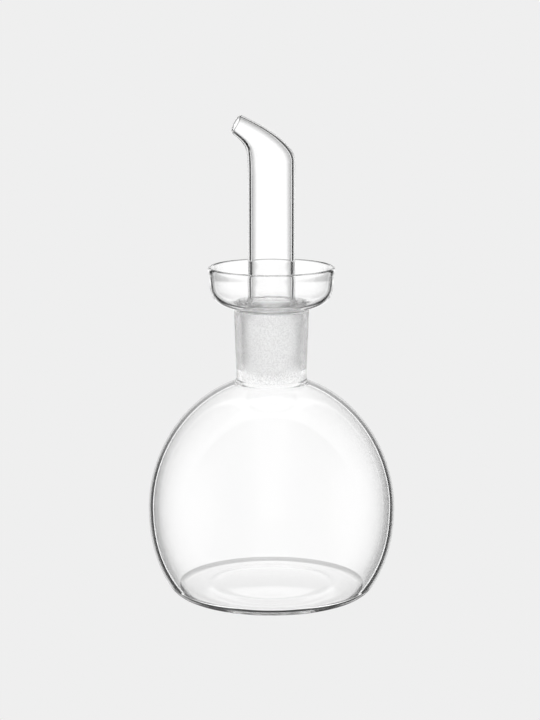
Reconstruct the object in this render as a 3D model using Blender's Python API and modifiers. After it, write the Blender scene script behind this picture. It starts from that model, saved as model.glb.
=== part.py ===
"""Glass oil bottle: a round flask with a ground neck, and the one-piece pourer that stands in it.

Metres, +Z up. The origin is at the middle of the underside, so the bottle stands on z = 0, and
the spout points along -X. The flask is one turned wall of glass, open at the top of its neck.
The pourer is one piece too: a hollow ground plug, a dish that catches drips, and a tube that
bends over and narrows to a mouth. A bore runs through all of it.
"""

import math

import bmesh
import bpy
from mathutils import Matrix

# Flask: a globe made of two half ellipses that meet at its widest circle
BODY_RADIUS = 0.0496
WIDEST_HEIGHT = 0.0351
SHOULDER_RISE = 0.0542
SHOULDER_POWER = 1.943
BELLY_DROP = 0.0520
BELLY_POWER = 2.203
BODY_WALL = 0.0019
BASE_CORNER = 0.0090
FOOT_INNER_RADIUS = 0.0290
PUSH_UP = 0.0011

# Neck of the flask, and the ground socket inside it
NECK_TOP = 0.1157
NECK_TOP_RADIUS = 0.01495
NECK_FOOT_RADIUS = 0.0140
NECK_FILLET = 0.0021
LIP_ROUND = 0.0007
SOCKET_TOP_RADIUS = 0.01285
SOCKET_FOOT_RADIUS = 0.0116
SOCKET_FILLET = 0.0012

# Pourer: plug, dish and tube
GAP = 0.0003
PLUG_BOTTOM = 0.0940
PLUG_WALL = 0.0019
PLUG_EDGE_ROUND = 0.0006
DISH_RADIUS = 0.0246
DISH_HEIGHT = 0.12757
DISH_DEPTH = 0.01176
DISH_POWER = 3.28
DISH_WALL = 0.0011
FLOOR_RISE = 0.0011
FLOOR_RISE_RADIUS = 0.0170
RIM_RADIUS = 0.02525
RIM_HEIGHT = 0.1320
RIM_WALL = 0.0017
TUBE_RADIUS = 0.0094
TUBE_WALL = 0.0017
TUBE_FOOT = 0.1140
FOOT_FILLET = 0.0016
FOOT_SINK = 0.00016
FOOT_TOP_ANGLE = math.radians(165)

# Spout: one curve runs over the bend and one under it, each from the straight tube to the mouth
UNDER_START = 0.1690
UNDER_HANDLE = 0.0115
UNDER_MOUTH_RISE = math.radians(40.7)
UNDER_MOUTH_HANDLE = 0.0083
OVER_START = 0.1746
OVER_HANDLE = 0.0068
OVER_MOUTH_RISE = math.radians(23.6)
OVER_MOUTH_HANDLE = 0.0102
MOUTH_REACH = 0.0143
MOUTH_HEIGHT = 0.1895
MOUTH_RADIUS = 0.00385
MOUTH_RISE = math.radians(27.4)
MOUTH_WALL = 0.0011

# Bore where the plug narrows into the tube, and how far cutters run past a face
THROAT_BOTTOM = 0.1120
THROAT_TOP = 0.1190
OVERRUN = 0.003

# Runs along a profile, steps round it, and the tube's sides and sections
FILLET_RUNS = 4
SHOULDER_RUNS = 10
BELLY_RUNS = 7
CORNER_RUNS = 5
PUSH_UP_RUNS = 4
EDGE_RUNS = 3
RIM_RUNS = 5
DISH_INSIDE_RUNS = 12
DISH_OUTSIDE_RUNS = 10
FLASK_STEPS = 44
POURER_STEPS = 48
TUBE_SIDES = 24
SPOUT_SECTIONS = 14
MERGE = 0.00001
SHARP_ANGLE = math.radians(40)

# The pourer's facets are turned a little, so that none of their edges meets the tube's
POURER_TURN = math.pi / POURER_STEPS / 2

# Glass
FLASK_TINT = (0.96, 0.97, 0.97)
POURER_TINT = (0.95, 0.97, 0.98)
ROUGHNESS = 0.02
REFRACTIVE_INDEX = 1.47


def clear_scene():
    for thing in list(bpy.data.objects):
        bpy.data.objects.remove(thing, do_unlink=True)


def new_collection(name):
    group = bpy.data.collections.new(name)
    bpy.context.scene.collection.children.link(group)
    return group


def glass(name, tint):
    """Clear borosilicate glass: all light goes through it."""
    material = bpy.data.materials.new(name)
    material.use_nodes = True
    shader = material.node_tree.nodes["Principled BSDF"]
    shader.inputs["Base Color"].default_value = (*tint, 1.0)
    shader.inputs["Roughness"].default_value = ROUGHNESS
    shader.inputs["IOR"].default_value = REFRACTIVE_INDEX
    shader.inputs["Transmission Weight"].default_value = 1.0
    material.diffuse_color = (*tint, 1.0)
    return material


def solve(function, low, high):
    """The value between low and high where a function that falls through nought reaches it."""
    for _ in range(60):
        middle = (low + high) / 2
        if function(middle) > 0:
            low = middle
        else:
            high = middle
    return (low + high) / 2


def steps_between(start, end, count):
    """count + 1 even values from start to end."""
    return [start + (end - start) * i / count for i in range(count + 1)]


def arc(centre, radius, start, end, count):
    """Points (r, z) on a circle from one angle to another."""
    return [
        (centre[0] + radius * math.cos(a), centre[1] + radius * math.sin(a))
        for a in steps_between(start, end, count)
    ]


def wall_point(angle, inset):
    """Point (r, z) of the globe and the outward normal there. The angle is 90 degrees at the
    top pole and 0 at the widest circle. The point lies inset below the outer surface."""
    power = SHOULDER_POWER if angle >= 0 else BELLY_POWER
    height = SHOULDER_RISE if angle >= 0 else BELLY_DROP
    across = math.cos(angle) ** (2 / power)
    along = abs(math.sin(angle)) ** (2 / power)
    normal_r = across ** (power - 1) / BODY_RADIUS
    normal_z = math.copysign(along ** (power - 1) / height, angle)
    length = math.hypot(normal_r, normal_z)
    normal_r /= length
    normal_z /= length
    r = BODY_RADIUS * across - inset * normal_r
    z = WIDEST_HEIGHT + math.copysign(height * along, angle) - inset * normal_z
    return r, z, normal_r, normal_z


def neck_join(inset, neck_radius, fillet):
    """The angle on the globe where the neck's fillet ends, and the fillet's points, downwards."""

    def reach(angle):
        r, _, normal_r, _ = wall_point(angle, inset)
        return r + fillet * normal_r - neck_radius - fillet

    angle = solve(reach, math.radians(45), math.radians(89.9))
    r, z, normal_r, normal_z = wall_point(angle, inset)
    centre = (r + fillet * normal_r, z + fillet * normal_z)
    turn = math.atan2(normal_z, normal_r)
    return angle, arc(centre, fillet, math.pi, math.pi + turn, FILLET_RUNS)


def base_corner(inset):
    """The angle on the globe where the base's corner begins, and the corner's points."""

    def above_floor(angle):
        return wall_point(angle, BASE_CORNER)[1] - BASE_CORNER

    angle = -solve(lambda a: above_floor(-a), 0.0, math.radians(89))
    r, z, normal_r, normal_z = wall_point(angle, BASE_CORNER)
    turn = math.atan2(normal_z, normal_r)
    return angle, arc((r, z), BASE_CORNER - inset, turn, -math.pi / 2, CORNER_RUNS)


def flask_side(inset, neck_radius, fillet):
    """One face of the flask's wall, from the foot of the neck down to the edge of the base."""
    top_angle, join = neck_join(inset, neck_radius, fillet)
    low_angle, corner = base_corner(inset)
    shoulder = [wall_point(a, inset)[:2] for a in steps_between(top_angle, 0.0, SHOULDER_RUNS)[1:]]
    belly = [wall_point(a, inset)[:2] for a in steps_between(0.0, low_angle, BELLY_RUNS)[1:-1]]
    return join + shoulder + belly + corner


def base_rise(r):
    """Height of the shallow push-up in the middle of the base."""
    if r >= FOOT_INNER_RADIUS:
        return 0.0
    return PUSH_UP * (1 + math.cos(math.pi * r / FOOT_INNER_RADIUS)) / 2


def flask_base(height):
    """The base from its flat foot ring in to the axis, the given height above the floor."""
    radii = steps_between(FOOT_INNER_RADIUS, 0.0, PUSH_UP_RUNS)
    return [(r, height + base_rise(r)) for r in radii]


def flask_profile():
    """Up the inside from the axis, over the lip, and down the outside to the axis."""
    inside = flask_side(BODY_WALL, SOCKET_FOOT_RADIUS, SOCKET_FILLET) + flask_base(BODY_WALL)
    outside = flask_side(0.0, NECK_FOOT_RADIUS, NECK_FILLET) + flask_base(0.0)
    height = NECK_TOP - LIP_ROUND
    inner_centre = (SOCKET_TOP_RADIUS + LIP_ROUND, height)
    outer_centre = (NECK_TOP_RADIUS - LIP_ROUND, height)
    inner_lip = arc(inner_centre, LIP_ROUND, math.pi, math.pi / 2, EDGE_RUNS)
    outer_lip = arc(outer_centre, LIP_ROUND, math.pi / 2, 0.0, EDGE_RUNS)
    return inside[::-1] + inner_lip + outer_lip + outside


def plug_radius(z):
    """The plug follows the socket's taper, a gap inside it."""
    socket_bottom = neck_join(BODY_WALL, SOCKET_FOOT_RADIUS, SOCKET_FILLET)[1][0][1]
    share = (z - socket_bottom) / (NECK_TOP - socket_bottom)
    return SOCKET_FOOT_RADIUS + (SOCKET_TOP_RADIUS - SOCKET_FOOT_RADIUS) * share - GAP


def bowl(inset, inner_radius, count):
    """The dish's wall from its straight upper edge round to the floor, as far in as a radius."""
    a = DISH_RADIUS - inset
    depth = DISH_DEPTH - inset
    last = math.acos((inner_radius / a) ** (DISH_POWER / 2))
    return [
        (
            a * math.cos(t) ** (2 / DISH_POWER),
            DISH_HEIGHT - depth * math.sin(t) ** (2 / DISH_POWER),
        )
        for t in steps_between(0.0, last, count)
    ]


def floor_rise(r):
    """The dish's floor thickens towards the foot of the tube."""
    span = FLOOR_RISE_RADIUS - TUBE_RADIUS - FOOT_FILLET
    share = min(1.0, max(0.0, (FLOOR_RISE_RADIUS - r) / span))
    return FLOOR_RISE * share * share * (3 - 2 * share)


def pourer_profile():
    """Plug and dish without the bore: the dish's inside from the axis out, over the rim, and
    down the outside of dish and plug to the axis."""
    floor = bowl(DISH_WALL, TUBE_RADIUS + FOOT_FILLET, DISH_INSIDE_RUNS)
    inside = [(r, z + floor_rise(r)) for r, z in floor]
    foot_centre = (inside[-1][0] - FOOT_SINK, inside[-1][1] + FOOT_FILLET)
    foot = arc(foot_centre, FOOT_FILLET, FOOT_TOP_ANGLE, math.radians(270), FILLET_RUNS)
    rim_centre = (RIM_RADIUS - RIM_WALL / 2, RIM_HEIGHT)
    rim = arc(rim_centre, RIM_WALL / 2, math.pi, 0.0, RIM_RUNS)
    top_radius = plug_radius(DISH_HEIGHT - DISH_DEPTH)
    outside = bowl(0.0, top_radius, DISH_OUTSIDE_RUNS)
    edge_centre = (plug_radius(PLUG_BOTTOM) - PLUG_EDGE_ROUND, PLUG_BOTTOM + PLUG_EDGE_ROUND)
    edge = arc(edge_centre, PLUG_EDGE_ROUND, 0.0, -math.pi / 2, EDGE_RUNS)
    start = [(0.0, foot[0][1])]
    return start + foot + inside[-2::-1] + rim + outside + edge + [(0.0, PLUG_BOTTOM)]


def bezier(points, t):
    """A cubic Bezier of numbers at t."""
    a, b, c, d = points
    s = 1 - t
    return a * s**3 + 3 * b * s * s * t + 3 * c * s * t * t + d * t**3


def bezier_slope(points, t):
    """How fast the Bezier changes with t."""
    a, b, c, d = points
    s = 1 - t
    return 3 * s * s * (b - a) + 6 * s * t * (c - b) + 3 * t * t * (d - c)


def side_curve(start, handle, radius, rise, mouth_handle, lip):
    """Four Bezier points from the tube's side at reach radius to a point of the mouth's lip."""
    end_x = MOUTH_REACH - lip * math.sin(MOUTH_RISE)
    end_z = MOUTH_HEIGHT + lip * math.cos(MOUTH_RISE)
    reach = (radius, radius, end_x - mouth_handle * math.cos(rise), end_x)
    height = (start, start + handle, end_z - mouth_handle * math.sin(rise), end_z)
    return reach, height


def spout_rungs(wall, mouth_wall):
    """Ellipses across the spout as (reach, z, half reach, half z, half width). Each spans from
    the under curve to the over curve, less a wall that thins towards the mouth."""
    under = side_curve(
        UNDER_START, UNDER_HANDLE, TUBE_RADIUS, UNDER_MOUTH_RISE, UNDER_MOUTH_HANDLE, -MOUTH_RADIUS
    )
    over = side_curve(
        OVER_START, OVER_HANDLE, -TUBE_RADIUS, OVER_MOUTH_RISE, OVER_MOUTH_HANDLE, MOUTH_RADIUS
    )
    rungs = []
    for t in steps_between(0.0, 1.0, SPOUT_SECTIONS):
        low_x, low_z, high_x, high_z = (bezier(points, t) for points in under + over)
        slope_x, slope_z = (bezier_slope(a, t) + bezier_slope(b, t) for a, b in zip(under, over))
        half_x = (high_x - low_x) / 2
        half_z = (high_z - low_z) / 2
        width = abs(half_x * slope_z - half_z * slope_x) / math.hypot(slope_x, slope_z)
        left = 1 - (wall + (mouth_wall - wall) * t) / width
        middle = ((high_x + low_x) / 2, (high_z + low_z) / 2)
        rungs.append((*middle, half_x * left, half_z * left, width * left))
    return rungs


def level_rung(z, radius):
    """A circle across the straight tube."""
    return 0.0, z, -radius, 0.0, radius


def tube_rungs():
    """The outside of tube and spout."""
    return [level_rung(TUBE_FOOT, TUBE_RADIUS)] + spout_rungs(0.0, 0.0)


def bore_rungs():
    """The inside of plug, tube and spout, run past the plug's bottom and the mouth."""
    low = PLUG_BOTTOM - OVERRUN
    *spout, (end_x, end_z, half_x, half_z, width) = spout_rungs(TUBE_WALL, MOUTH_WALL)
    past_x = end_x + OVERRUN * math.cos(MOUTH_RISE)
    past_z = end_z + OVERRUN * math.sin(MOUTH_RISE)
    straight = [
        level_rung(low, plug_radius(low) - PLUG_WALL),
        level_rung(THROAT_BOTTOM, plug_radius(THROAT_BOTTOM) - PLUG_WALL),
        level_rung(THROAT_TOP, TUBE_RADIUS - TUBE_WALL),
    ]
    return straight + spout + [(past_x, past_z, half_x, half_z, width)]


def turned(name, profile, steps, material, group):
    """A profile in the XZ plane, turned about Z by a Screw modifier."""
    mesh = bpy.data.meshes.new(name)
    edges = [(i, i + 1) for i in range(len(profile) - 1)]
    mesh.from_pydata([(r, 0.0, z) for r, z in profile], edges, [])
    thing = bpy.data.objects.new(name, mesh)
    group.objects.link(thing)
    screw = thing.modifiers.new("turn", "SCREW")
    screw.steps = steps
    screw.render_steps = steps
    screw.use_merge_vertices = True
    screw.merge_threshold = MERGE
    mesh.materials.append(material)
    return thing


def bridged_tube(name, rungs, group):
    """A capped tube bridged from one ellipse to the next. Reach runs along -X."""
    shell = bmesh.new()
    loops = []
    for reach, z, half_reach, half_z, half_width in rungs:
        place = Matrix(
            (
                (-half_reach, 0.0, 0.0, -reach),
                (0.0, half_width, 0.0, 0.0),
                (half_z, 0.0, 0.0, z),
                (0.0, 0.0, 0.0, 1.0),
            )
        )
        ring = bmesh.ops.create_circle(shell, segments=TUBE_SIDES, radius=1.0, matrix=place)
        loops.append({edge for vert in ring["verts"] for edge in vert.link_edges})
    for loop, following in zip(loops, loops[1:]):
        bmesh.ops.bridge_loops(shell, edges=list(loop | following))
    bmesh.ops.holes_fill(shell, edges=list(loops[0] | loops[-1]), sides=TUBE_SIDES)
    bmesh.ops.recalc_face_normals(shell, faces=shell.faces)
    mesh = bpy.data.meshes.new(name)
    shell.to_mesh(mesh)
    shell.free()
    thing = bpy.data.objects.new(name, mesh)
    group.objects.link(thing)
    thing.hide_render = True
    thing.display_type = "WIRE"
    return thing


def combine(thing, other, operation):
    """A live Boolean of one solid with another."""
    step = thing.modifiers.new(operation.lower(), "BOOLEAN")
    step.operation = operation
    step.solver = "EXACT"
    step.object = other


def shade_round(thing):
    """Smooth shading that keeps the sharp edges."""
    thing.data.shade_smooth()
    smooth = thing.modifiers.get("turn")
    if smooth is not None:
        smooth.use_smooth_shade = True
    thing.data.set_sharp_from_angle(angle=SHARP_ANGLE)


def build_flask(group):
    material = glass("flask_glass", FLASK_TINT)
    flask = turned("bottle", flask_profile(), FLASK_STEPS, material, group)
    shade_round(flask)
    return flask


def build_pourer(group, cutters):
    material = glass("pourer_glass", POURER_TINT)
    pourer = turned("pourer", pourer_profile(), POURER_STEPS, material, group)
    pourer.rotation_euler.z = POURER_TURN
    tube = bridged_tube("tube_outside", tube_rungs(), cutters)
    bore = bridged_tube("bore", bore_rungs(), cutters)
    combine(pourer, tube, "UNION")
    combine(pourer, bore, "DIFFERENCE")
    shade_round(pourer)
    return pourer


def main():
    clear_scene()
    group = new_collection("oil_bottle")
    cutters = new_collection("cutters")
    build_flask(group)
    build_pourer(group, cutters)


main()
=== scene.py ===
"""A clear glass oil bottle: a blown flask with a ground neck, and a glass pourer standing in it.

Both pieces are surfaces worked out with numpy. The flask is a profile turned about the bottle's
axis. The pourer is one closed ladder of rings carried up the outside of its plug, dish, tube and
spout, over the mouth's lip, and back down the bore.
"""

import math

import bpy
import numpy as np
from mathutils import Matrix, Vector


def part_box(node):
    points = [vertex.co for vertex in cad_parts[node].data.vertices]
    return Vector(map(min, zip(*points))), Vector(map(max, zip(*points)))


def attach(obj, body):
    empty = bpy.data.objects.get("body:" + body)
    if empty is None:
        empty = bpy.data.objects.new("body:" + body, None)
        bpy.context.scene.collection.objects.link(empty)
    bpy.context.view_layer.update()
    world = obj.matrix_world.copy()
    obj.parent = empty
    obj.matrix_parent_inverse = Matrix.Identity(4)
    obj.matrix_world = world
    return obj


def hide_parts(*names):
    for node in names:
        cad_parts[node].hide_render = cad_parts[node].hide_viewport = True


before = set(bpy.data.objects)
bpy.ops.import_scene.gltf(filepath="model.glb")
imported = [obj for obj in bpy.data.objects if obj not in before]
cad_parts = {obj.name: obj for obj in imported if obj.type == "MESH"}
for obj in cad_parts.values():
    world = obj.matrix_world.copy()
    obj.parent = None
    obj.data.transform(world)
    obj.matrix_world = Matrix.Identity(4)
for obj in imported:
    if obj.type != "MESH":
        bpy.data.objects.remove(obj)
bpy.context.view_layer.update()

# Flask, metres
BODY_RADIUS = 0.0496
WIDEST_HEIGHT = 0.0351
SHOULDER_RISE = 0.0542
SHOULDER_POWER = 1.943
BELLY_DROP = 0.0520
BELLY_POWER = 2.203
BODY_WALL = 0.0019
BASE_CORNER = 0.0090
PUSH_UP_RADIUS = 0.0340
PUSH_UP = 0.0008
FLOOR_RADIUS = 0.0379
FLOOR_EASE = 0.0003
NECK_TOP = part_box("bottle")[1].z
NECK_TOP_RADIUS = 0.01495
NECK_FOOT_RADIUS = 0.0140
NECK_FILLET = 0.0021
LIP_ROUND = 0.0007
SOCKET_TOP_RADIUS = 0.01285
SOCKET_FOOT_RADIUS = 0.0116
SOCKET_FILLET = 0.0022

# Soft rings in the floor: radius, width and height, which is below nought for a hollow
RIPPLES = ((0.0345, 0.0016, -0.00006), (0.0240, 0.0020, -0.00008))

# Pourer, metres
GAP = 0.0003
PLUG_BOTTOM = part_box("pourer")[0].z
PLUG_WALL = 0.0019
PLUG_EDGE_ROUND = 0.0006
DISH_RADIUS = 0.0246
DISH_HEIGHT = 0.12757
DISH_DEPTH = 0.01176
DISH_POWER = 3.28
DISH_WALL = 0.0011
FLOOR_RISE = 0.0011
FLOOR_RISE_RADIUS = 0.0170
RIM_RADIUS = 0.02525
RIM_HEIGHT = 0.1320
RIM_WALL = 0.0017
TUBE_RADIUS = 0.0094
TUBE_WALL = 0.0017
FOOT_FILLET = 0.0016
UNDER_START = 0.1690
UNDER_HANDLE = 0.0115
UNDER_MOUTH_RISE = math.radians(40.7)
UNDER_MOUTH_HANDLE = 0.0083
OVER_START = 0.1746
OVER_HANDLE = 0.0068
OVER_MOUTH_RISE = math.radians(23.6)
OVER_MOUTH_HANDLE = 0.0102
MOUTH_REACH = 0.0143
MOUTH_HEIGHT = 0.1895
MOUTH_RADIUS = 0.00385
MOUTH_RISE = math.radians(27.4)
MOUTH_WALL = 0.0011
THROAT_BOTTOM = 0.1120
THROAT_TOP = 0.1190

# The spout's rungs stop short of the mouth, where the lip takes over
SPOUT_END = 0.965

# Steps along the flask's profile
FILLET_STEPS = 14
SHOULDER_STEPS = 79
BELLY_STEPS = 43
CORNER_STEPS = 30
PUSH_UP_STEPS = 35
FLOOR_STEPS = 91
LIP_STEPS = 8
NECK_STEPS = 12

# Steps along the pourer's profile
EDGE_STEPS = 8
PLUG_STEPS = 8
DISH_OUTSIDE_STEPS = 56
DISH_INSIDE_STEPS = 60
FLARE_STEPS = 14
RIM_STEPS = 20
FOOT_STEPS = 12
TUBE_STEPS = 6
SPOUT_STEPS = 63
MOUTH_STEPS = 10
THROAT_STEPS = 16

# Points round a ring
FLASK_ROUND = 192
POURER_ROUND = 240

# Angles between which the neck's fillet and the base's corner meet the globe
SHOULDER_SEARCH = (math.radians(45), math.radians(89.9))
BELLY_SEARCH = (0.0, math.radians(89))
HALVINGS = 60

# Material slots of both pieces
CLEAR, GROUND, LIGHTLY_GROUND = range(3)

# The first rings of the plug's rounded end, left clear
CLEAR_END_RINGS = 3

# Glass
REFRACTIVE_INDEX = 1.47
BLOWN_WAVES = (60.0, 60.0, 18.0)
BLOWN_DETAIL = 1.0
BLOWN_DARKEST = 0.985

# Ground glass: its grain, and the part of the grain's range that shows
GROUND_ROUGHNESS = 0.3
GRAIN_SCALE = 1900.0
GRAIN_DETAIL = 3.0
GRAIN_LOW = 0.4
GRAIN_HIGH = 0.6
GRAIN_BUMP = 0.4
GRAIN_DEPTH = 0.0002
GROUND_DARKEST = 0.8
GROUND_POWDER = 0.16
LIGHTLY_GROUND_DARKEST = 0.96
LIGHTLY_GROUND_POWDER = 0.6
POWDER_DARKEST = 0.6

# Camera, as the photograph was taken
CAMERA_AZIMUTH = math.radians(-12.0)
CAMERA_RISE = math.radians(10.36)
CAMERA_DISTANCE = 0.85
CAMERA_AIM_HEIGHT = 0.0952
CAMERA_AIM_ASIDE = -0.0006
FOCAL_PIXELS = 2128.0
IMAGE_HEIGHT = 720
SENSOR = 36.0

# Stage, metres
PALE = 0.863
FLOOR_SIZE = 4.0
FLOOR_DROP = 0.0002
DOME_RADIUS = 6.0
DOME_AROUND = 192
DOME_UP = 96
SLEEVE_RADIUS = 0.05
SLEEVE_HEIGHT = 0.09
SLEEVE_MIDDLE = 0.1605
SLEEVE_AROUND = 96

# Glass faces that light has passed: the middle and half width of what counts as a hollow, and
# the least for the joint. A count of crossings is one or more when it is past a half.
HOLLOW_FACES = 4.0
HOLLOW_SPREAD = 1.5
JOINT_FACES = 7.5
ANY = 0.5
SLEEVE_CROSSINGS = 1.0
SLEEVE_SPREAD = 0.1

# How much light can turn before it leaves the glass
MOST_BOUNCES = 40
BOUNCES_OF_A_KIND = 32

# Strengths of the dome
BACK_GLOW = 1.08
JOINT_GLOW = 1.35
POWDER_GLOW = 2.55
POURER_FRONT_LIGHT = 0.95

# The middle of each pattern of light, in degrees above level
FLASK_AXIS = -13.0
STRAIGHT_AXIS = -10.0
POURER_AXIS = -5.0

# What a degree above the axis counts as
FLASK_RISE = 0.95
EVEN_RISE = 1.0

# Degrees
QUARTER_TURN = 90.0
HALF_TURN = 180.0

# Degrees below an axis, and what they count as, in quarter turns
EVEN_FALL = ((0, 0.0), (90, 1.0))
FLASK_FALL = (
    (0, 0.0),
    (10, 8 / 90),
    (27, 21 / 90),
    (59, 27.5 / 90),
    (65, 30.5 / 90),
    (80, 32 / 90),
    (88, 33 / 90),
)
POURER_FALL = ((0, 0.0), (90, 0.5))

# Light by degrees from the line of sight
STRAIGHT_LIGHT = ((0, 1.0), (11, 1.0), (14, 0.82), (17, 0.67), (22, 0.5), (27, 0.5), (40, 0.8), (90, 1.0))
POURER_STRAIGHT_LIGHT = (
    (0, 1.0),
    (11, 1.0),
    (14, 0.84),
    (17, 0.72),
    (22, 0.68),
    (30, 0.48),
    (45, 0.3),
    (90, 0.3),
)
FLASK_LIGHT = (
    (0, 1.0),
    (15, 1.0),
    (20, 0.03),
    (29.5, 0.03),
    (30.6, 1.7),
    (32.4, 1.7),
    (33.6, 0.03),
    (46, 0.06),
    (53, 0.18),
    (57, 0.33),
    (61, 0.45),
    (65, 0.53),
    (72, 0.62),
    (78, 0.71),
    (86, 0.78),
    (90, 0.8),
)
FLASK_FACE_LIGHT = (
    (0, 0.9),
    (12, 0.5),
    (16, 0.3),
    (20, 0.12),
    (39, 0.1),
    (53, 0.3),
    (57, 0.47),
    (61, 0.56),
    (65, 0.6),
    (72, 0.66),
    (78, 0.73),
    (86, 0.79),
    (90, 0.8),
)
POURER_LIGHT = (
    (0, 1.0),
    (20, 1.0),
    (23, 0.0),
    (44, 0.0),
    (46, 1.1),
    (51, 1.1),
    (52, 0.1),
    (62, 0.3),
    (75, 0.6),
    (90, 0.8),
)
POURER_FACE_LIGHT = ((0, 1.0), (24, 0.9), (30, 0.15), (50, 0.1), (63, 0.3), (75, 0.6), (90, 0.8))
FRONT_LIGHT = ((0, 0.35), (50, 0.35), (65, 0.6), (90, 0.8))
HOLLOW_LIGHT = ((0, 1.0), (10, 0.95), (18, 0.4), (30, 0.05), (90, 0.05))

# Light by degrees above straight down
FLASK_LIFT = ((0, 0.0), (85, 0.0), (94, 0.22), (102, 0.38), (125, 0.6), (180, 0.8))
POURER_HEIGHT_LIGHT = ((0, 1.0), (56, 1.0), (60, 0.1), (69, 0.1), (74, 1.0), (180, 1.0))
HOLLOW_HEIGHT_LIGHT = ((0, 1.0), (103, 1.0), (109, 0.5), (180, 0.5))


def solve(function, low, high):
    """The value between low and high where a function that falls through nought reaches it."""
    for _ in range(HALVINGS):
        middle = (low + high) / 2
        if function(middle) > 0:
            low = middle
        else:
            high = middle
    return (low + high) / 2


def arc(centre, radius, start, end, steps):
    """Points of a circle, (r, z) in columns: centre plus radius times (cosine, sine)."""
    angle = np.linspace(start, end, steps + 1)
    return np.stack([centre[0] + radius * np.cos(angle), centre[1] + radius * np.sin(angle)], 1)


def line(start, end, steps):
    """Even points of a straight run, without its last point."""
    share = np.linspace(0, 1, steps + 1)[:-1, None]
    return np.array(start) * (1 - share) + np.array(end) * share


def ease(share):
    """From 0 to 1 with level ends: 3 s squared less 2 s cubed."""
    share = np.clip(share, 0, 1)
    return share * share * (3 - 2 * share)


def flare(start, end, steps):
    """An easy run from one upright tangent to another, without its ends."""
    share = np.linspace(0, 1, steps + 1)[1:-1]
    r = start[0] + (end[0] - start[0]) * ease(share)
    z = start[1] + (end[1] - start[1]) * share
    return np.stack([r, z], 1)


def globe_wall(angle, inset):
    """The globe at an angle above its widest circle, as columns r, z, normal r and normal z.

    r is the radius times cosine to the power 2 / p, and z the half height times sine to the
    power 2 / p, which traces |r / a|^p + |z / b|^p = 1. The point lies inset inside it."""
    angle = np.atleast_1d(angle).astype(float)
    power = np.where(angle >= 0, SHOULDER_POWER, BELLY_POWER)
    height = np.where(angle >= 0, SHOULDER_RISE, BELLY_DROP)
    across = np.abs(np.cos(angle)) ** (2 / power)
    along = np.abs(np.sin(angle)) ** (2 / power)
    side = np.where(angle >= 0, 1.0, -1.0)
    normal = np.stack([across ** (power - 1) / BODY_RADIUS, side * along ** (power - 1) / height], 1)
    normal /= np.linalg.norm(normal, axis=1)[:, None]
    point = np.stack([BODY_RADIUS * across, WIDEST_HEIGHT + side * height * along], 1)
    return np.concatenate([point - inset * normal, normal], 1)


def neck_join(inset, neck_radius, fillet):
    """Angle where the neck's fillet meets the globe, and the fillet's points downwards."""

    def reach(angle):
        r, _, normal_r, _ = globe_wall(angle, inset)[0]
        return r + fillet * normal_r - neck_radius - fillet

    angle = solve(reach, *SHOULDER_SEARCH)
    r, z, normal_r, normal_z = globe_wall(angle, inset)[0]
    centre = (r + fillet * normal_r, z + fillet * normal_z)
    turn = math.atan2(normal_z, normal_r)
    return angle, arc(centre, fillet, math.pi, math.pi + turn, FILLET_STEPS)


def base_corner(inset):
    """Angle where the base's rounded corner begins, and the corner's points."""

    def height(angle):
        return globe_wall(-angle, BASE_CORNER)[0, 1] - BASE_CORNER

    angle = -solve(height, *BELLY_SEARCH)
    r, z, normal_r, normal_z = globe_wall(angle, BASE_CORNER)[0]
    turn = math.atan2(normal_z, normal_r)
    return angle, arc((r, z), BASE_CORNER - inset, turn, -math.pi / 2, CORNER_STEPS)


def flask_side(inset, neck_radius, fillet):
    """One face of the wall, from the foot of the neck to the edge of the base."""
    top, join = neck_join(inset, neck_radius, fillet)
    low, corner = base_corner(inset)
    shoulder = globe_wall(np.linspace(top, 0, SHOULDER_STEPS + 1)[1:], inset)[:, :2]
    belly = globe_wall(np.linspace(0, low, BELLY_STEPS + 1)[1:-1], inset)[:, :2]
    return np.concatenate([join, shoulder, belly, corner])


def push_up(r):
    """A shallow cosine rise in the middle of the base, level at its edge and at the axis."""
    share = np.clip(r / PUSH_UP_RADIUS, 0, 1)
    return PUSH_UP * (1 + np.cos(math.pi * share)) / 2


def underside():
    """The base's outer face, from the flat ring it stands on in to the axis."""
    r = np.linspace(PUSH_UP_RADIUS, 0, PUSH_UP_STEPS + 1)
    return np.stack([r, push_up(r)], 1)


def floor_ripples(r):
    """Soft ring-shaped hollows: each its height times e to minus its distance in widths squared."""
    return sum(height * np.exp(-(((r - radius) / width) ** 2)) for radius, width, height in RIPPLES)


def inner_floor(side):
    """The inside of the base, cut off level where the corner's arc reaches the floor's radius.

    The break in slope there is eased over a short ring, and the floor inside it carries the
    push-up and the ripples."""
    upper = side[(side[:, 0] > FLOOR_RADIUS + FLOOR_EASE) | (side[:, 1] > WIDEST_HEIGHT)]
    below_widest = side[side[:, 1] < WIDEST_HEIGHT][::-1]
    floor_height = np.interp(FLOOR_RADIUS, below_widest[:, 0], below_widest[:, 1])
    r = np.linspace(FLOOR_RADIUS, 0, FLOOR_STEPS + 1)
    floor = np.stack([r, floor_height + push_up(r) + floor_ripples(r)], 1)
    return np.concatenate([upper, floor])


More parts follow.
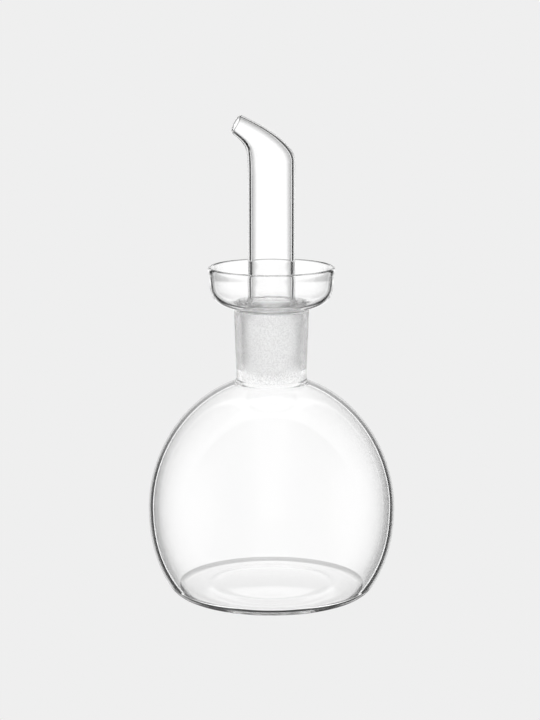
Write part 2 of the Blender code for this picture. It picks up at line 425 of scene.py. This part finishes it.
def flask_profile():
    """Up the outside from the axis, over the lip and down the inside, and each ring's slot.

    The socket is ground from half way round its lip down, and lightly ground below the plug."""
    outside = np.concatenate([flask_side(0.0, NECK_FOOT_RADIUS, NECK_FILLET), underside()])[::-1]
    inside = inner_floor(flask_side(BODY_WALL, SOCKET_FOOT_RADIUS, SOCKET_FILLET))
    height = NECK_TOP - LIP_ROUND
    outer_lip = arc((NECK_TOP_RADIUS - LIP_ROUND, height), LIP_ROUND, 0, math.pi / 2, LIP_STEPS)
    inner_lip = arc((SOCKET_TOP_RADIUS + LIP_ROUND, height), LIP_ROUND, math.pi / 2, math.pi, LIP_STEPS)
    neck = line(outside[-1], outer_lip[0], NECK_STEPS)[1:]
    socket = line(inner_lip[-1], inside[0], NECK_STEPS)[1:]
    profile = np.concatenate([outside, neck, outer_lip, inner_lip, socket, inside])
    slots = np.full(len(profile), CLEAR)
    first = len(outside) + len(neck) + len(outer_lip) + LIP_STEPS // 2
    rough = slice(first, len(profile) - len(inside))
    slots[rough] = np.where(profile[rough, 1] < PLUG_BOTTOM, LIGHTLY_GROUND, GROUND)
    return profile, slots


def mesh_from_grid(name, rings, poles, materials, ring_slots):
    """A mesh of rings of points, an array of ring by place round the ring by axis.

    Each face joins two neighbours of one ring to the same two of the next. Without poles the
    ladder of rings closes on itself, and with them it ends in a fan round one at each end."""
    count, around = rings.shape[:2]
    points = rings.reshape(-1, 3)
    last = count if poles is None else count - 1
    ring, place = np.meshgrid(np.arange(last), np.arange(around), indexing="ij")
    beyond = (place + 1) % around
    low = ring * around
    high = (ring + 1) % count * around
    quads = np.stack([low + place, low + beyond, high + beyond, high + place], -1).reshape(-1, 4)
    corners = quads.ravel()
    totals = np.full(len(quads), 4)
    slots = np.repeat(ring_slots[:last], around)
    if poles is not None:
        pole = len(points)
        points = np.concatenate([points, poles])
        place = np.arange(around)
        beyond = (place + 1) % around
        end = (count - 1) * around
        first_fan = np.stack([np.full(around, pole), beyond, place], 1)
        last_fan = np.stack([np.full(around, pole + 1), end + place, end + beyond], 1)
        corners = np.concatenate([corners, first_fan.ravel(), last_fan.ravel()])
        totals = np.concatenate([totals, np.full(2 * around, 3)])
        slots = np.concatenate([slots, np.full(2 * around, CLEAR)])
    mesh = bpy.data.meshes.new(name)
    mesh.vertices.add(len(points))
    mesh.vertices.foreach_set("co", points.astype(np.float32).ravel())
    mesh.loops.add(len(corners))
    mesh.loops.foreach_set("vertex_index", corners.astype(np.int32))
    mesh.polygons.add(len(totals))
    starts = np.concatenate([[0], np.cumsum(totals)[:-1]])
    mesh.polygons.foreach_set("loop_start", starts.astype(np.int32))
    mesh.polygons.foreach_set("loop_total", totals.astype(np.int32))
    for material in materials:
        mesh.materials.append(material)
    mesh.polygons.foreach_set("material_index", slots.astype(np.int32))
    mesh.update(calc_edges=True)
    mesh.shade_smooth()
    thing = bpy.data.objects.new(name, mesh)
    bpy.context.scene.collection.objects.link(thing)
    return thing


def flask_piece(materials):
    """The flask: each profile point turned about the axis, r times (cosine, sine) at its z."""
    profile, slots = flask_profile()
    turn = np.linspace(0, 2 * math.pi, FLASK_ROUND, endpoint=False)
    r, z = profile[1:-1].T[:, :, None]
    rings = np.stack(np.broadcast_arrays(r * np.cos(turn), r * np.sin(turn), z), -1)
    poles = np.array([[0, 0, profile[0, 1]], [0, 0, profile[-1, 1]]])
    return mesh_from_grid("flask_glasswork", rings, poles, materials, slots[1:-1])


def socket_height():
    """Height where the ground socket ends below."""
    return neck_join(BODY_WALL, SOCKET_FOOT_RADIUS, SOCKET_FILLET)[1][0, 1]


def plug_radius(z):
    """The plug follows the socket's taper, a gap inside it."""
    low = socket_height()
    share = (z - low) / (NECK_TOP - low)
    return SOCKET_FOOT_RADIUS + (SOCKET_TOP_RADIUS - SOCKET_FOOT_RADIUS) * share - GAP


def bowl(inset, inner_radius, steps):
    """The dish's wall from its upper edge round to the floor, a quarter of a squarish ellipse."""
    a = DISH_RADIUS - inset
    depth = DISH_DEPTH - inset
    t = np.linspace(0, math.acos((inner_radius / a) ** (DISH_POWER / 2)), steps + 1)
    r = a * np.cos(t) ** (2 / DISH_POWER)
    z = DISH_HEIGHT - depth * np.sin(t) ** (2 / DISH_POWER)
    return np.stack([r, z], 1)


def floor_rise(r):
    """The dish's floor thickens towards the foot of the tube."""
    return FLOOR_RISE * ease((FLOOR_RISE_RADIUS - r) / (FLOOR_RISE_RADIUS - TUBE_RADIUS - FOOT_FILLET))


def outside_profile():
    """From the plug's end up its side, under the dish, over the rim, in to the tube's foot."""
    edge = PLUG_EDGE_ROUND
    edge_centre = (plug_radius(PLUG_BOTTOM) - edge, PLUG_BOTTOM + edge)
    end = arc(edge_centre, edge, -math.pi / 2, 0, EDGE_STEPS)
    under = bowl(0.0, plug_radius(DISH_HEIGHT - DISH_DEPTH), DISH_OUTSIDE_STEPS)[::-1]
    plug = line(end[-1], under[0], PLUG_STEPS)[1:]
    rim = arc((RIM_RADIUS - RIM_WALL / 2, RIM_HEIGHT), RIM_WALL / 2, 0, math.pi, RIM_STEPS)
    inside = bowl(DISH_WALL, TUBE_RADIUS + FOOT_FILLET, DISH_INSIDE_STEPS)
    inside[:, 1] += floor_rise(inside[:, 0])
    outer_side = flare(under[-1], rim[0], FLARE_STEPS)
    inner_side = flare(rim[-1], inside[0], FLARE_STEPS)
    foot_centre = (inside[-1, 0], inside[-1, 1] + FOOT_FILLET)
    foot = arc(foot_centre, FOOT_FILLET, 1.5 * math.pi, math.pi, FOOT_STEPS)[1:]
    profile = np.concatenate([end, plug, under, outer_side, rim, inner_side, inside, foot])
    slots = np.full(len(profile), CLEAR)
    slots[CLEAR_END_RINGS : len(end) + len(plug)] = GROUND
    return profile, slots


def bore_profile():
    """Down the straight bore from the bend, through the throat and out of the plug's end."""
    edge = PLUG_EDGE_ROUND
    high = (TUBE_RADIUS - TUBE_WALL, THROAT_TOP)
    low = (plug_radius(THROAT_BOTTOM) - PLUG_WALL, THROAT_BOTTOM)
    leave = plug_radius(PLUG_BOTTOM) - PLUG_WALL
    throat = flare(high, low, THROAT_STEPS)
    plug = line(low, (leave, PLUG_BOTTOM + edge), PLUG_STEPS)
    end = arc((leave + edge, PLUG_BOTTOM + edge), edge, math.pi, 1.5 * math.pi, EDGE_STEPS)
    return np.concatenate([[high], throat, plug, end])


def bezier(points, t):
    """A cubic Bezier of numbers."""
    a, b, c, d = points
    s = 1 - t
    return a * s**3 + 3 * b * s * s * t + 3 * c * s * t * t + d * t**3


def bezier_slope(points, t):
    """How fast the Bezier changes with t."""
    a, b, c, d = points
    s = 1 - t
    return 3 * s * s * (b - a) + 6 * s * t * (c - b) + 3 * t * t * (d - c)


def side_curve(start, handle, radius, rise, mouth_handle, lip):
    """Four Bezier points, reach and z, from the tube's side to a point of the mouth's lip."""
    end_x = MOUTH_REACH - lip * math.sin(MOUTH_RISE)
    end_z = MOUTH_HEIGHT + lip * math.cos(MOUTH_RISE)
    reach = (radius, radius, end_x - mouth_handle * math.cos(rise), end_x)
    height = (start, start + handle, end_z - mouth_handle * math.sin(rise), end_z)
    return reach, height


def spout_rungs(t, wall, mouth_wall):
    """Ellipses across the spout at the shares t: reach, z, half reach, half z and half width.

    Each spans from the curve under the bend to the curve over it. The half width is the span
    square to the middle line, and the wall is taken off in proportion."""
    under = side_curve(
        UNDER_START, UNDER_HANDLE, TUBE_RADIUS, UNDER_MOUTH_RISE, UNDER_MOUTH_HANDLE, -MOUTH_RADIUS
    )
    over = side_curve(
        OVER_START, OVER_HANDLE, -TUBE_RADIUS, OVER_MOUTH_RISE, OVER_MOUTH_HANDLE, MOUTH_RADIUS
    )
    low_x, low_z, high_x, high_z = (bezier(points, t) for points in under + over)
    slope_x, slope_z = (bezier_slope(a, t) + bezier_slope(b, t) for a, b in zip(under, over))
    half_x = (high_x - low_x) / 2
    half_z = (high_z - low_z) / 2
    width = np.abs(half_x * slope_z - half_z * slope_x) / np.hypot(slope_x, slope_z)
    left = 1 - (wall + (mouth_wall - wall) * t) / width
    reach = (high_x + low_x) / 2
    height = (high_z + low_z) / 2
    return np.stack([reach, height, half_x * left, half_z * left, width * left], 1)


def turned_rungs(profile):
    """Turned points, r and z, as level rungs."""
    flat = np.zeros(len(profile))
    return np.stack([flat, profile[:, 1], -profile[:, 0], flat, profile[:, 0]], 1)


def mouth_lip():
    """Half a circle across the wall's edge, whose front lies in the mouth's plane."""
    turn = np.linspace(0, math.pi, MOUTH_STEPS + 1)
    half_wall = MOUTH_WALL / 2
    back = half_wall * (np.sin(turn) - 1)
    radius = MOUTH_RADIUS - half_wall + half_wall * np.cos(turn)
    reach = MOUTH_REACH + back * math.cos(MOUTH_RISE)
    height = MOUTH_HEIGHT + back * math.sin(MOUTH_RISE)
    half_reach = -radius * math.sin(MOUTH_RISE)
    half_height = radius * math.cos(MOUTH_RISE)
    return np.stack([reach, height, half_reach, half_height, radius], 1)


def pourer_rungs():
    """Rungs once round the glass: up the outside, over the mouth's lip, down the bore."""
    outside, outside_slots = outside_profile()
    foot = turned_rungs(outside)
    drop = turned_rungs(bore_profile())
    share = np.linspace(0, SPOUT_END, SPOUT_STEPS + 1)
    spout = spout_rungs(share, 0.0, 0.0)
    inner = spout_rungs(share, TUBE_WALL, MOUTH_WALL)[::-1]
    tube = line(foot[-1], spout[0], TUBE_STEPS)[1:]
    tube_bore = line(inner[-1], drop[0], TUBE_STEPS)[1:]
    rungs = np.concatenate([foot, tube, spout, mouth_lip(), inner, tube_bore, drop])
    slots = np.full(len(rungs), CLEAR)
    slots[: len(outside_slots)] = outside_slots
    return rungs, slots


def pourer_piece(materials):
    """The pourer: middle plus cosine times the half span, and the half width times sine."""
    rungs, slots = pourer_rungs()
    turn = np.linspace(0, 2 * math.pi, POURER_ROUND, endpoint=False)
    reach, height, half_reach, half_height, width = rungs.T[:, :, None]
    x = -(reach + half_reach * np.cos(turn))
    y = width * np.sin(turn)
    z = height + half_height * np.cos(turn)
    rings = np.stack([x, y, z], -1)
    return mesh_from_grid("pourer_glasswork", rings, None, materials, slots)


class Wiring:
    """A material's node tree, with short names for building it."""

    def __init__(self, tree):
        self.nodes = tree.nodes
        self.links = tree.links

    def put(self, socket, value):
        """Link an output to a socket, or set the socket to a number."""
        if isinstance(value, bpy.types.NodeSocket):
            self.links.new(value, socket)
        else:
            socket.default_value = value

    def place(self):
        """Object coordinates."""
        return self.nodes.new("ShaderNodeTexCoord").outputs["Object"]

    def noise(self, place, scale, detail):
        """Soft clouds of grey."""
        node = self.nodes.new("ShaderNodeTexNoise")
        self.put(node.inputs["Vector"], place)
        self.put(node.inputs["Scale"], scale)
        self.put(node.inputs["Detail"], detail)
        return node.outputs["Fac"]

    def spread(self, value, low, high, least, most):
        """least where value is low, most where it is high."""
        node = self.nodes.new("ShaderNodeMapRange")
        self.put(node.inputs["Value"], value)
        self.put(node.inputs["From Min"], low)
        self.put(node.inputs["From Max"], high)
        self.put(node.inputs["To Min"], least)
        self.put(node.inputs["To Max"], most)
        return node.outputs["Result"]

    def math(self, operation, *values):
        """One sum of numbers or outputs."""
        node = self.nodes.new("ShaderNodeMath")
        node.operation = operation
        for socket, value in zip(node.inputs, values):
            self.put(socket, value)
        return node.outputs[0]

    def mix(self, share, at_nought, at_one):
        """at_nought where share is 0, at_one where it is 1."""
        node = self.nodes.new("ShaderNodeMix")
        self.put(node.inputs["Factor"], share)
        self.put(node.inputs["A"], at_nought)
        self.put(node.inputs["B"], at_one)
        return node.outputs["Result"]

    def table(self, degrees, rows):
        """Straight runs between rows of degrees, 0 to 180, and level."""
        node = self.nodes.new("ShaderNodeValToRGB")
        stops = node.color_ramp.elements
        while len(stops) < len(rows):
            stops.new(1.0)
        for stop, (angle, level) in zip(stops, rows):
            stop.position = angle / HALF_TURN
            stop.color = (level, level, level, 1.0)
        self.put(node.inputs["Fac"], self.math("DIVIDE", degrees, HALF_TURN))
        return node.outputs["Color"]

    def surface(self, shade):
        """Give a tree that has no output one, with this shader."""
        out = self.nodes.new("ShaderNodeOutputMaterial")
        self.links.new(shade, out.inputs["Surface"])


def glass(name, roughness):
    """Borosilicate glass, with its wiring and its shader."""
    material = bpy.data.materials.new(name)
    material.use_nodes = True
    wire = Wiring(material.node_tree)
    shader = wire.nodes["Principled BSDF"]
    wire.put(shader.inputs["Roughness"], roughness)
    wire.put(shader.inputs["IOR"], REFRACTIVE_INDEX)
    wire.put(shader.inputs["Transmission Weight"], 1.0)
    return material, wire, shader


def clear_glass(name):
    """Polished glass, its tint very slightly uneven as in blown work."""
    material, wire, shader = glass(name, 0.0)
    stretch = wire.nodes.new("ShaderNodeMapping")
    wire.put(stretch.inputs["Vector"], wire.place())
    wire.put(stretch.inputs["Scale"], BLOWN_WAVES)
    waves = wire.noise(stretch.outputs["Vector"], 1.0, BLOWN_DETAIL)
    wire.put(shader.inputs["Base Color"], wire.spread(waves, 0.0, 1.0, BLOWN_DARKEST, 1.0))
    return material


def ground_glass(name, darkest, powder_share):
    """Finely ground glass: rough and a little powdery, with a fine grain."""
    material, wire, shader = glass(name, GROUND_ROUGHNESS)
    grain = wire.noise(wire.place(), GRAIN_SCALE, GRAIN_DETAIL)
    bump = wire.nodes.new("ShaderNodeBump")
    wire.put(bump.inputs["Strength"], GRAIN_BUMP)
    wire.put(bump.inputs["Distance"], GRAIN_DEPTH)
    wire.put(bump.inputs["Height"], grain)
    wire.put(shader.inputs["Normal"], bump.outputs["Normal"])
    wire.put(shader.inputs["Base Color"], wire.spread(grain, GRAIN_LOW, GRAIN_HIGH, darkest, 1.0))
    powder = wire.nodes.new("ShaderNodeBsdfDiffuse")
    wire.put(powder.inputs["Color"], wire.spread(grain, GRAIN_LOW, GRAIN_HIGH, POWDER_DARKEST, 1.0))
    both = wire.nodes.new("ShaderNodeMixShader")
    wire.put(both.inputs["Fac"], powder_share)
    wire.put(both.inputs[1], shader.outputs["BSDF"])
    wire.put(both.inputs[2], powder.outputs["BSDF"])
    wire.put(wire.nodes["Material Output"].inputs["Surface"], both.outputs["Shader"])
    return material


def blank_material(name):
    """A material without nodes, and its wiring."""
    material = bpy.data.materials.new(name)
    material.use_nodes = True
    material.node_tree.nodes.clear()
    material.cycles.emission_sampling = "NONE"
    return material, Wiring(material.node_tree)


def pale_stage_material(name):
    """Even pale grey, as the photograph's background."""
    material, wire = blank_material(name)
    glow = wire.nodes.new("ShaderNodeEmission")
    glow.inputs["Color"].default_value = (PALE, PALE, PALE, 1.0)
    wire.surface(glow.outputs["Emission"])
    return material


def sleeve_material(name):
    """Clear, so that the light from the pourer can be told from the flask's."""
    material, wire = blank_material(name)
    wire.surface(wire.nodes.new("ShaderNodeBsdfTransparent").outputs["BSDF"])
    return material


def light_kinds(wire):
    """What the light met on its way, each 0 or 1.

    It was mirrored by any face, had passed no face before that, had passed more than one wall,
    had passed the ground joint, had come from the pourer, which is all inside the sleeve, or had
    been scattered by the joint's powder."""
    path = wire.nodes.new("ShaderNodeLightPath")
    passed = path.outputs["Transmission Depth"]
    mirrored = wire.math("GREATER_THAN", path.outputs["Glossy Depth"], ANY)
    face = wire.math("LESS_THAN", passed, ANY)
    hollow = wire.math("COMPARE", passed, HOLLOW_FACES, HOLLOW_SPREAD)
    joint = wire.math("GREATER_THAN", passed, JOINT_FACES)
    pourer = wire.math("COMPARE", path.outputs["Transparent Depth"], SLEEVE_CROSSINGS, SLEEVE_SPREAD)
    powder = wire.math("GREATER_THAN", path.outputs["Diffuse Depth"], ANY)
    return mirrored, face, hollow, joint, pourer, powder


def degrees_up(wire, height):
    """Degrees of the dome above a level."""
    angle = wire.math("ARCSINE", wire.math("DIVIDE", height, DOME_RADIUS))
    return wire.math("MULTIPLY", angle, math.degrees(1))


def spread_from(wire, aside, height, axis, fall, rise):
    """Degrees from an axis so many degrees up, with what lies below and above it rescaled."""
    above = wire.math("SUBTRACT", height, axis)
    low = wire.math("MULTIPLY", wire.table(wire.math("ABSOLUTE", above), fall), QUARTER_TURN)
    high = wire.math("MULTIPLY", above, rise)
    along = wire.mix(wire.math("LESS_THAN", above, 0.0), high, low)
    squares = wire.math("ADD", wire.math("MULTIPLY", aside, aside), wire.math("MULTIPLY", along, along))
    return wire.math("SQRT", squares)


def dome_material(name):
    """White light from all round, with dark rings round the line of sight.

    Only mirrored light sees the rings, as the fine dark and white lines along the glass's edges.
    Light that passes straight through falls off a little to the sides."""
    material, wire = blank_material(name)
    apart = wire.nodes.new("ShaderNodeSeparateXYZ")
    wire.put(apart.inputs["Vector"], wire.place())
    x, y, z = apart.outputs
    height = degrees_up(wire, z)
    aside = degrees_up(wire, wire.math("ABSOLUTE", x))
    from_below = wire.math("ADD", height, QUARTER_TURN)
    mirrored, face, hollow, joint, pourer, powder = light_kinds(wire)

    spread = spread_from(wire, aside, height, FLASK_AXIS, FLASK_FALL, FLASK_RISE)
    flask = wire.mix(face, wire.table(spread, FLASK_LIGHT), wire.table(spread, FLASK_FACE_LIGHT))
    flask = wire.mix(wire.table(from_below, FLASK_LIFT), flask, 1.0)

    spread = spread_from(wire, aside, height, POURER_AXIS, POURER_FALL, EVEN_RISE)
    held = wire.mix(face, wire.table(spread, POURER_LIGHT), wire.table(spread, POURER_FACE_LIGHT))
    held = wire.math("MULTIPLY", held, wire.table(from_below, POURER_HEIGHT_LIGHT))

    behind = wire.mix(pourer, flask, held)
    front = wire.mix(pourer, wire.table(aside, FRONT_LIGHT), POURER_FRONT_LIGHT)
    level = wire.mix(wire.math("GREATER_THAN", y, 0.0), front, behind)
    inner = wire.math(
        "MULTIPLY", wire.table(aside, HOLLOW_LIGHT), wire.table(from_below, HOLLOW_HEIGHT_LIGHT)
    )
    level = wire.mix(hollow, level, inner)

    spread = spread_from(wire, aside, height, STRAIGHT_AXIS, EVEN_FALL, EVEN_RISE)
    straight = wire.mix(
        pourer, wire.table(spread, STRAIGHT_LIGHT), wire.table(spread, POURER_STRAIGHT_LIGHT)
    )
    level = wire.mix(mirrored, straight, level)
    bare_joint = wire.math("MULTIPLY", joint, wire.math("SUBTRACT", 1.0, pourer))
    level = wire.mix(bare_joint, level, JOINT_GLOW)
    level = wire.mix(powder, level, POWDER_GLOW)
    glow = wire.nodes.new("ShaderNodeEmission")
    wire.put(glow.inputs["Strength"], wire.math("MULTIPLY", level, BACK_GLOW))
    wire.surface(glow.outputs["Emission"])
    return material


def clear_of_camera(thing):
    """Set square to the camera, and unseen by it."""
    thing.rotation_euler[2] = CAMERA_AZIMUTH
    thing.visible_camera = False
    thing.visible_shadow = False


def light_dome(material):
    """A smooth ball of light, far round the bottle."""
    bpy.ops.mesh.primitive_uv_sphere_add(segments=DOME_AROUND, ring_count=DOME_UP, radius=DOME_RADIUS)
    thing = bpy.context.object
    thing.name = "light_dome"
    thing.data.shade_smooth()
    thing.data.materials.append(material)
    clear_of_camera(thing)
    return thing


def clear_sleeve(material):
    """An upright drum round the pourer, above the flask."""
    bpy.ops.mesh.primitive_cylinder_add(
        vertices=SLEEVE_AROUND, radius=SLEEVE_RADIUS, depth=SLEEVE_HEIGHT, location=(0, 0, SLEEVE_MIDDLE)
    )
    thing = bpy.context.object
    thing.name = "clear_sleeve"
    thing.data.materials.append(material)
    clear_of_camera(thing)
    return thing


def pale_floor(material):
    """A plain floor that only the camera sees."""
    bpy.ops.mesh.primitive_plane_add(size=FLOOR_SIZE, location=(0, 0, -FLOOR_DROP))
    thing = bpy.context.object
    thing.name = "floor"
    thing.data.materials.append(material)
    for kind in ("diffuse", "glossy", "transmission", "volume_scatter", "shadow"):
        setattr(thing, "visible_" + kind, False)
    return thing


def stage():
    """A plain pale floor and background, a white dome of light, and the pourer's clear sleeve."""
    floor = pale_floor(pale_stage_material("pale_floor"))
    drum = clear_sleeve(sleeve_material("clear"))
    dome = light_dome(dome_material("dome_light"))
    world = bpy.data.worlds.new("pale_room")
    world.use_nodes = True
    world.node_tree.nodes["Background"].inputs["Color"].default_value = (PALE, PALE, PALE, 1.0)
    world.cycles.sampling_method = "NONE"
    bpy.context.scene.world = world


def camera():
    """The photograph's view: a long lens, a little above the bottle."""
    data = bpy.data.cameras.new("photo_camera")
    data.sensor_fit = "VERTICAL"
    data.sensor_height = SENSOR
    data.lens = FOCAL_PIXELS / IMAGE_HEIGHT * SENSOR
    thing = bpy.data.objects.new("photo_camera", data)
    bpy.context.scene.collection.objects.link(thing)
    right = np.array([math.cos(CAMERA_AZIMUTH), math.sin(CAMERA_AZIMUTH), 0])
    level_back = np.array([math.sin(CAMERA_AZIMUTH), -math.cos(CAMERA_AZIMUTH), 0])
    up = np.array([0, 0, 1])
    back = level_back * math.cos(CAMERA_RISE) + up * math.sin(CAMERA_RISE)
    aim = up * CAMERA_AIM_HEIGHT + right * CAMERA_AIM_ASIDE
    thing.location = aim + CAMERA_DISTANCE * back
    thing.rotation_euler = (math.pi / 2 - CAMERA_RISE, 0, CAMERA_AZIMUTH)
    bpy.context.scene.camera = thing


def light_paths():
    """Greys as they are lit, and light that can turn often enough to leave the glass."""
    scene = bpy.context.scene
    scene.view_settings.view_transform = "Standard"
    scene.cycles.max_bounces = MOST_BOUNCES
    scene.cycles.transmission_bounces = BOUNCES_OF_A_KIND
    scene.cycles.glossy_bounces = BOUNCES_OF_A_KIND
    scene.cycles.diffuse_bounces = BOUNCES_OF_A_KIND
    scene.cycles.transparent_max_bounces = BOUNCES_OF_A_KIND


def dress():
    """Both glass pieces, in place of the plain solids."""
    materials = [
        clear_glass("clear_glass"),
        ground_glass("ground_glass", GROUND_DARKEST, GROUND_POWDER),
        ground_glass("lightly_ground_glass", LIGHTLY_GROUND_DARKEST, LIGHTLY_GROUND_POWDER),
    ]
    for maker, node, slot in (
        (flask_piece, "bottle", "flask_glass"),
        (pourer_piece, "pourer", "pourer_glass"),
    ):
        piece = maker(materials)
        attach(piece, "root")
        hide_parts(node)


dress()
stage()
camera()
light_paths()
